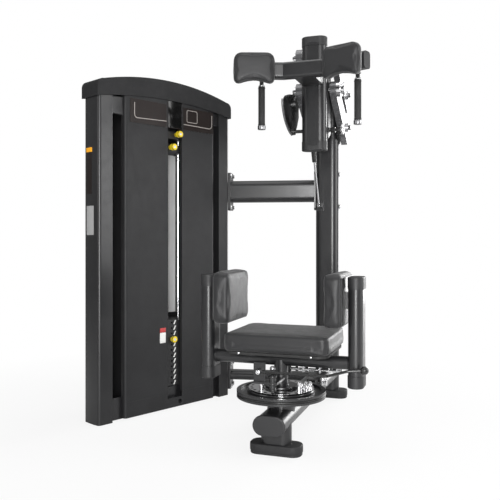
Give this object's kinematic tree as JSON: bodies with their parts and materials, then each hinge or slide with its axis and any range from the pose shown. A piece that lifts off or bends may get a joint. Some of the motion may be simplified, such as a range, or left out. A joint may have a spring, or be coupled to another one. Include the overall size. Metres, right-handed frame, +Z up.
{
  "type": "rotary torso machine",
  "caption": "Kneeling rotary torso machine: turning knee platform with thigh pads, height-adjustable chest pads and grips on a linked carrier, and a shrouded weight tower.",
  "frame": {"origin": "centre of the front foot's sole, on the floor", "axes": "+Z up, +Y from the front foot towards the main post, +X away from the weight tower"},
  "size_m": [1.2344, 1.083, 1.689],
  "materials": {
    "charcoal_coat": "semi-gloss, fine powder texture",
    "bright_coat": "semi-gloss powder coat on the links",
    "shroud_sheet": "fine textured dark grey sheet",
    "cap_plastic": "satin dark grey moulding",
    "end_cap_plastic": "glossy black moulding",
    "foot_rubber": "matte black",
    "pad_vinyl": "fine-grained matte black upholstery",
    "pad_board": "black stained board",
    "grip_rubber": "soft black foam rubber",
    "bright_steel": "bright zinc-plated steel",
    "chrome_steel": "polished chrome",
    "cast_plate": "black painted weight plates",
    "cable_black": "black coated cable",
    "pulley_nylon": "black moulded nylon",
    "yellow_knob": "yellow moulded knob",
    "trim_dark": "bare dark notice plates and light strip",
    "strut_black": "gloss black cylinder"
  },
  "bodies": {
    "frame": {"feet": "foot_rubber", "base_frame": "charcoal_coat", "frame_end_caps": "end_cap_plastic", "main_post": "charcoal_coat", "upper_tie_tube": "charcoal_coat", "lower_tie_tube": "charcoal_coat", "frame_bolts": "bright_steel", "rear_pivots": "chrome_steel", "strut_clevis": "charcoal_coat", "tower_left_column": "charcoal_coat", "tower_right_column": "charcoal_coat", "tower_cap": "cap_plastic", "tower_plinth": "cap_plastic", "shroud_left": "shroud_sheet", "shroud_right": "shroud_sheet", "rear_shroud": "shroud_sheet", "tower_frame": "charcoal_coat", "guide_rods": "chrome_steel", "stack_bumpers": "foot_rubber", "resting_plates": "cast_plate", "tower_trim": "trim_dark", "turntable_bearing": "charcoal_coat", "drive_cable": "cable_black", "stack_cable": "cable_black"},
    "lifted_stack": {"lifted_plates": "cast_plate", "selector_stem": "bright_steel"},
    "selector_pin": {"selector_pin": "yellow_knob"},
    "add_weight_pin_upper": {"add_weight_pin_upper": "yellow_knob"},
    "add_weight_pin_lower": {"add_weight_pin_lower": "yellow_knob"},
    "top_pulley": {"top_pulley": "pulley_nylon"},
    "tower_lower_pulley": {"tower_lower_pulley": "pulley_nylon"},
    "corner_pulley": {"corner_pulley": "pulley_nylon"},
    "rear_pulley": {"rear_pulley": "pulley_nylon"},
    "cam": {"turntable_disc": "charcoal_coat", "index_ring": "chrome_steel", "stop_pins": "chrome_steel"},
    "platform": {"platform_frame": "charcoal_coat", "thigh_tubes": "charcoal_coat", "thigh_tube_caps": "end_cap_plastic", "thigh_pad_left": "pad_vinyl", "thigh_pad_right": "pad_vinyl", "thigh_pad_plates": "charcoal_coat", "knee_pad": "pad_vinyl", "knee_board": "pad_board"},
    "start_pin": {"start_pin": "bright_steel"},
    "start_lever": {"start_lever": "bright_steel"},
    "lower_link": {"lower_link": "bright_coat"},
    "upper_link": {"upper_link": "bright_coat"},
    "chest_carrier": {"chest_carrier": "charcoal_coat", "chest_end_caps": "end_cap_plastic", "carrier_bracket": "charcoal_coat", "chest_crossbar": "charcoal_coat", "pad_and_grip_brackets": "charcoal_coat", "chest_pad_left": "pad_vinyl", "chest_pad_right": "pad_vinyl", "hand_grips": "grip_rubber", "front_pivots": "chrome_steel"},
    "strut_rod": {"strut_rod": "chrome_steel"},
    "strut_cylinder": {"strut_cylinder": "strut_black"},
    "lock_lever": {"lock_lever": "charcoal_coat"}
  },
  "joints": [
    {"name": "cam_turn", "type": "hinge", "parent": "frame", "child": "cam", "pos_m": [0, 0.062, 0.2065], "axis": [0, 0, -1], "range_deg": [0, 95]},
    {"name": "platform_index", "type": "hinge", "parent": "cam", "child": "platform", "pos_m": [0, 0.062, 0.331], "axis": [0, 0, 1], "range_deg": [-60, 60]},
    {"name": "start_lever_lift", "type": "hinge", "parent": "platform", "child": "start_lever", "pos_m": [-0.048, -0.06, 0.304], "axis": [0, -1, 0], "range_deg": [-7, 0]},
    {"name": "start_pin_slide", "type": "slide", "parent": "platform", "child": "start_pin", "axis": [0, 0, 1], "range_m": [-0.00588, 0]},
    {"name": "stack_lift", "type": "slide", "parent": "frame", "child": "lifted_stack", "axis": [0, 0, 1], "range_m": [0, 0.2726], "deforming": ["stack_cable"]},
    {"name": "selector_pull", "type": "slide", "parent": "lifted_stack", "child": "selector_pin", "axis": [0.9048, -0.4258, 0], "range_m": [0, 0.06]},
    {"name": "add_weight_pin_upper_pull", "type": "slide", "parent": "frame", "child": "add_weight_pin_upper", "axis": [0.9048, -0.4258, 0], "range_m": [0, 0.02]},
    {"name": "add_weight_pin_lower_pull", "type": "slide", "parent": "frame", "child": "add_weight_pin_lower", "axis": [0.9048, -0.4258, 0], "range_m": [0, 0.02]},
    {"name": "top_pulley_spin", "type": "hinge", "parent": "frame", "child": "top_pulley", "pos_m": [-0.70867, 0.48817, 1.31], "axis": [0.4258, 0.9048, 0], "range_deg": [-504.5, 504.5]},
    {"name": "lower_pulley_spin", "type": "hinge", "parent": "frame", "child": "tower_lower_pulley", "pos_m": [-0.72352, 0.52942, 0.2375], "axis": [-0.9048, 0.4258, 0], "range_deg": [-504.5, 504.5]},
    {"name": "corner_pulley_spin", "type": "hinge", "parent": "frame", "child": "corner_pulley", "pos_m": [-0.54304, 0.84015, 0.2065], "axis": [0, 0, 1], "range_deg": [-504.5, 504.5]},
    {"name": "rear_pulley_spin", "type": "hinge", "parent": "frame", "child": "rear_pulley", "pos_m": [-0.195, 0.866, 0.2065], "axis": [0, 0, 1], "range_deg": [-504.5, 504.5]},
    {"name": "chest_raise", "type": "hinge", "parent": "frame", "child": "lower_link", "pos_m": [0, 0.892, 1.32], "axis": [-1, 0, 0], "range_deg": [-16, 12]},
    {"name": "upper_link_follow", "type": "hinge", "parent": "frame", "child": "upper_link", "pos_m": [0, 0.892, 1.478], "axis": [-1, 0, 0], "range_deg": [-17, 13]},
    {"name": "carrier_level", "type": "hinge", "parent": "lower_link", "child": "chest_carrier", "pos_m": [0, 0.662, 1.46], "axis": [-1, 0, 0], "range_deg": [-13, 17]},
    {"name": "strut_tilt", "type": "hinge", "parent": "frame", "child": "strut_rod", "pos_m": [-0.03, 0.834, 0.94], "axis": [-1, 0, 0], "range_deg": [-10.7, 8.27]},
    {"name": "strut_slide", "type": "slide", "parent": "strut_rod", "child": "strut_cylinder", "axis": [0, -0.4235, 0.9059], "range_m": [-0.0448, 0.0341]},
    {"name": "lock_turn", "type": "hinge", "parent": "chest_carrier", "child": "lock_lever", "pos_m": [0, 0.676, 1.278], "axis": [-1, 0, 0], "range_deg": [0, 30]}
  ],
  "couplings": [
    {"joint": "stack_lift", "follows": "cam_turn", "m_per_rad": 0.1643},
    {"joint": "top_pulley_spin", "follows": "cam_turn", "ratio": -5.3},
    {"joint": "lower_pulley_spin", "follows": "cam_turn", "ratio": -5.3},
    {"joint": "corner_pulley_spin", "follows": "cam_turn", "ratio": -5.3},
    {"joint": "rear_pulley_spin", "follows": "cam_turn", "ratio": -5.3},
    {"joint": "start_pin_slide", "follows": "start_lever_lift", "m_per_rad": 0.048},
    {"joint": "upper_link_follow", "follows": "chest_raise", "ratio": 1},
    {"joint": "carrier_level", "follows": "chest_raise", "ratio": -1},
    {"joint": "strut_tilt", "follows": "chest_raise", "ratio": 0.60619},
    {"joint": "strut_slide", "follows": "chest_raise", "m_per_rad": 0.15328}
  ]
}
